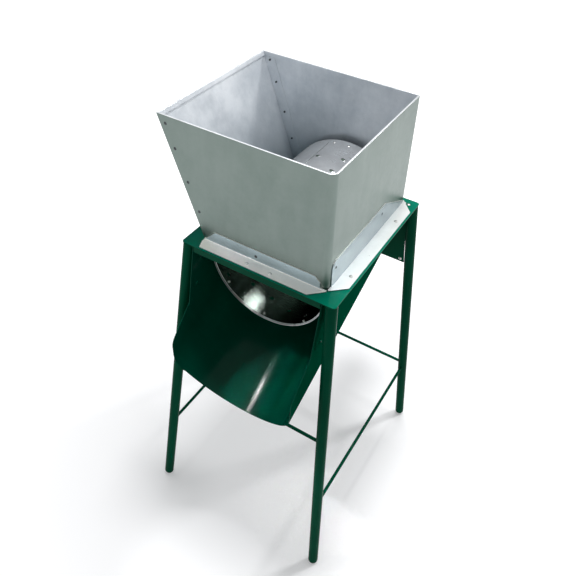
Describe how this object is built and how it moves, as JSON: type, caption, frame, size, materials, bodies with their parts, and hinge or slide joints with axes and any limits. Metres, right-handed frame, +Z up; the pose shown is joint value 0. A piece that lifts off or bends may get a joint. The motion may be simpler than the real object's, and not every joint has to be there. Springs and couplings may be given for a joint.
{
  "type": "fruit mill",
  "caption": "Electric fruit mill: square sheet hopper over a toothed drum, half-round discharge chute below, on a splayed tube stand, with a flange motor behind.",
  "frame": {"origin": "on the floor under the middle of the top plate, at the height of the feet", "axes": "+Z up, +X to the right seen from the chute's open end, +Y from the chute's open end to the motor"},
  "size_m": [0.508, 0.6873, 1.096],
  "materials": {
    "green_paint": "gloss",
    "dark_green_paint": "gloss",
    "galvanised_sheet": "satin",
    "bright_steel": "satin",
    "stainless_sheet": "satin",
    "cast_hub": "matte",
    "motor_paint": "satin",
    "laminated_steel": "matte",
    "copper_winding": "satin",
    "black_plastic": "satin",
    "grey_plastic": "satin",
    "green_button_plastic": "gloss",
    "red_button_plastic": "gloss"
  },
  "bodies": {
    "stand": {"top_plate": "green_paint", "leg_front_left": "dark_green_paint", "leg_front_right": "dark_green_paint", "leg_rear_left": "dark_green_paint", "leg_rear_right": "dark_green_paint", "foot_plugs": "dark_green_paint", "brace_front": "dark_green_paint", "brace_left": "dark_green_paint", "brace_right": "dark_green_paint", "brace_rear": "dark_green_paint", "rear_panel": "green_paint", "rear_panel_screws": "bright_steel", "plate_screws": "bright_steel", "hopper_body": "galvanised_sheet", "hopper_left_wall": "galvanised_sheet", "hopper_rivets": "bright_steel", "strip_front": "galvanised_sheet", "strip_right": "galvanised_sheet", "strip_left": "galvanised_sheet", "strip_rear": "galvanised_sheet", "strip_screws": "bright_steel", "strip_rivets": "bright_steel", "chute": "green_paint", "chute_lugs": "green_paint", "chute_screws": "green_paint", "motor_plate": "motor_paint", "motor_plate_bolts": "bright_steel", "motor_front_shield": "motor_paint", "motor_body": "motor_paint", "stator_core": "laminated_steel", "stator_windings": "copper_winding", "motor_rear_shield": "motor_paint", "motor_flange_bolts": "bright_steel", "bearing_front": "bright_steel", "bearing_rear": "bright_steel", "fan_cover": "motor_paint", "fan_cover_screws": "bright_steel", "switch_box": "black_plastic", "switch_box_screws": "bright_steel", "switch_lid": "grey_plastic", "switch_lid_screws": "bright_steel", "contact_blocks": "grey_plastic", "start_capacitor": "black_plastic", "cable_gland": "black_plastic"},
    "drum": {"drum_shell": "stainless_sheet", "drum_seam_strip": "stainless_sheet", "drum_front_hoop": "stainless_sheet", "drum_rear_disc": "stainless_sheet", "drum_rivets": "bright_steel", "drum_hub": "cast_hub", "hub_bolts": "bright_steel", "drive_shaft": "bright_steel", "shaft_key": "bright_steel", "shaft_end_bolt": "bright_steel", "rotor_core": "laminated_steel", "cooling_fan": "black_plastic"},
    "start_button": {"start_button": "green_button_plastic"},
    "stop_button": {"stop_button": "red_button_plastic"}
  },
  "joints": [
    {"name": "drum_spin", "type": "hinge", "parent": "stand", "child": "drum", "pos_m": [0, 0, 0.812], "axis": [0, -1, 0], "continuous": true},
    {"name": "start_button_press", "type": "slide", "parent": "stand", "child": "start_button", "axis": [0, 0, -1], "range_m": [0, 0.004], "stiffness_N_per_m": 400, "springref_m": -0.002},
    {"name": "stop_button_press", "type": "slide", "parent": "stand", "child": "stop_button", "axis": [0, 0, -1], "range_m": [0, 0.004], "stiffness_N_per_m": 400, "springref_m": -0.002}
  ]
}
